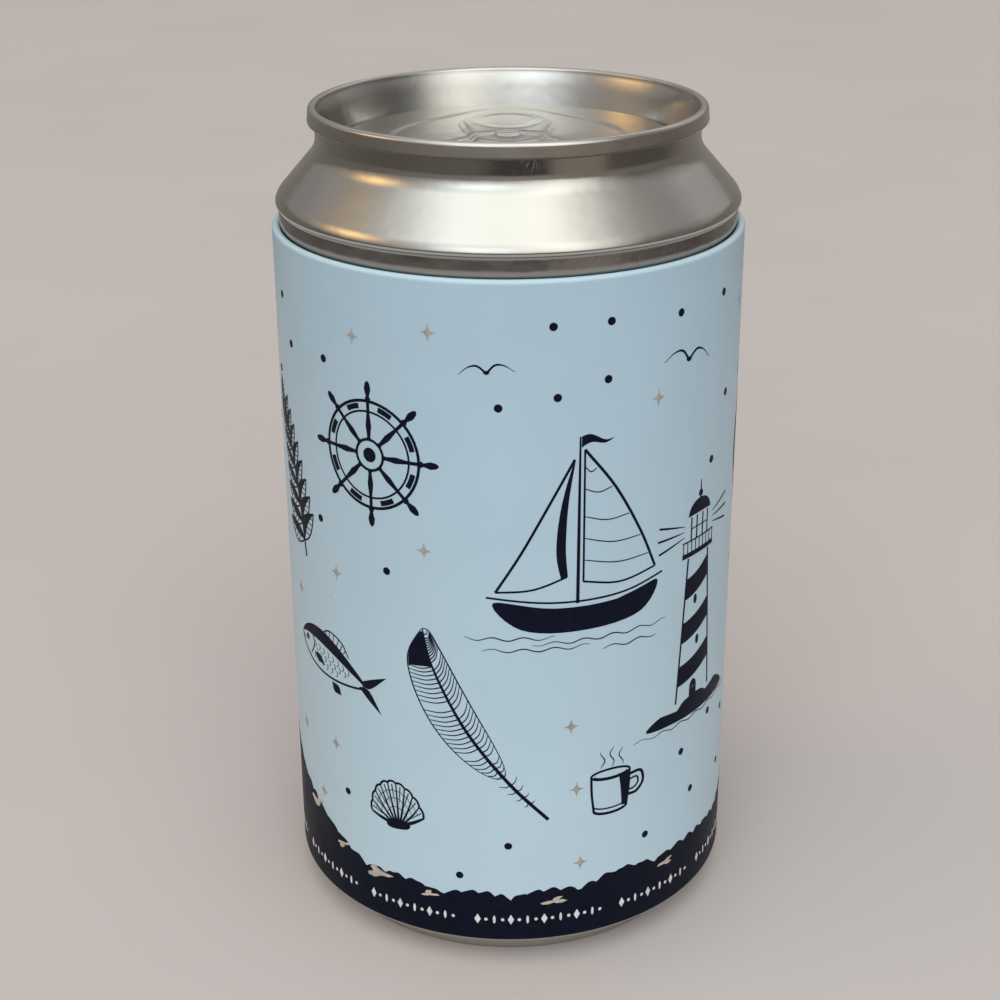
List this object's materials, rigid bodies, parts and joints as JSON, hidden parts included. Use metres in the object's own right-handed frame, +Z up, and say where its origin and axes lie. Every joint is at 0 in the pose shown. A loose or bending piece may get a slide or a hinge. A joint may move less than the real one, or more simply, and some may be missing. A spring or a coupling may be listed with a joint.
{
  "type": "can diversion safe",
  "caption": "Drinks-can-shaped storage tin: a printed cylindrical body with a seamed base, closed by a lift-off plug lid shaped like a can's neck, rim and end.",
  "frame": {"origin": "on the table under the middle of the standing ring of the base", "axes": "+Z up along the can's axis, towards the lid; the picture looks along +Y, so its front is -Y"},
  "size_m": [0.066, 0.066, 0.119],
  "materials": {
    "printed_body": "light blue satin print over tinplate",
    "base_tinplate": "bare tinplate, dulled by handling",
    "lid_tinplate": "bright tinplate with fine scratches",
    "end_tinplate": "bright tinplate, pressed",
    "navy_ink": "dark navy printing ink",
    "stone_ink": "warm grey printing ink",
    "white_ink": "off-white printing ink"
  },
  "bodies": {
    "can_body": {"body_shell": "printed_body", "base_end": "base_tinplate"},
    "lid": {"lid_shell": "lid_tinplate", "lid_end": "end_tinplate"}
  },
  "joints": [
    {"name": "lid_lift", "type": "slide", "parent": "can_body", "child": "lid", "axis": [0, 0, 1], "range_m": [0, 0.08]}
  ]
}
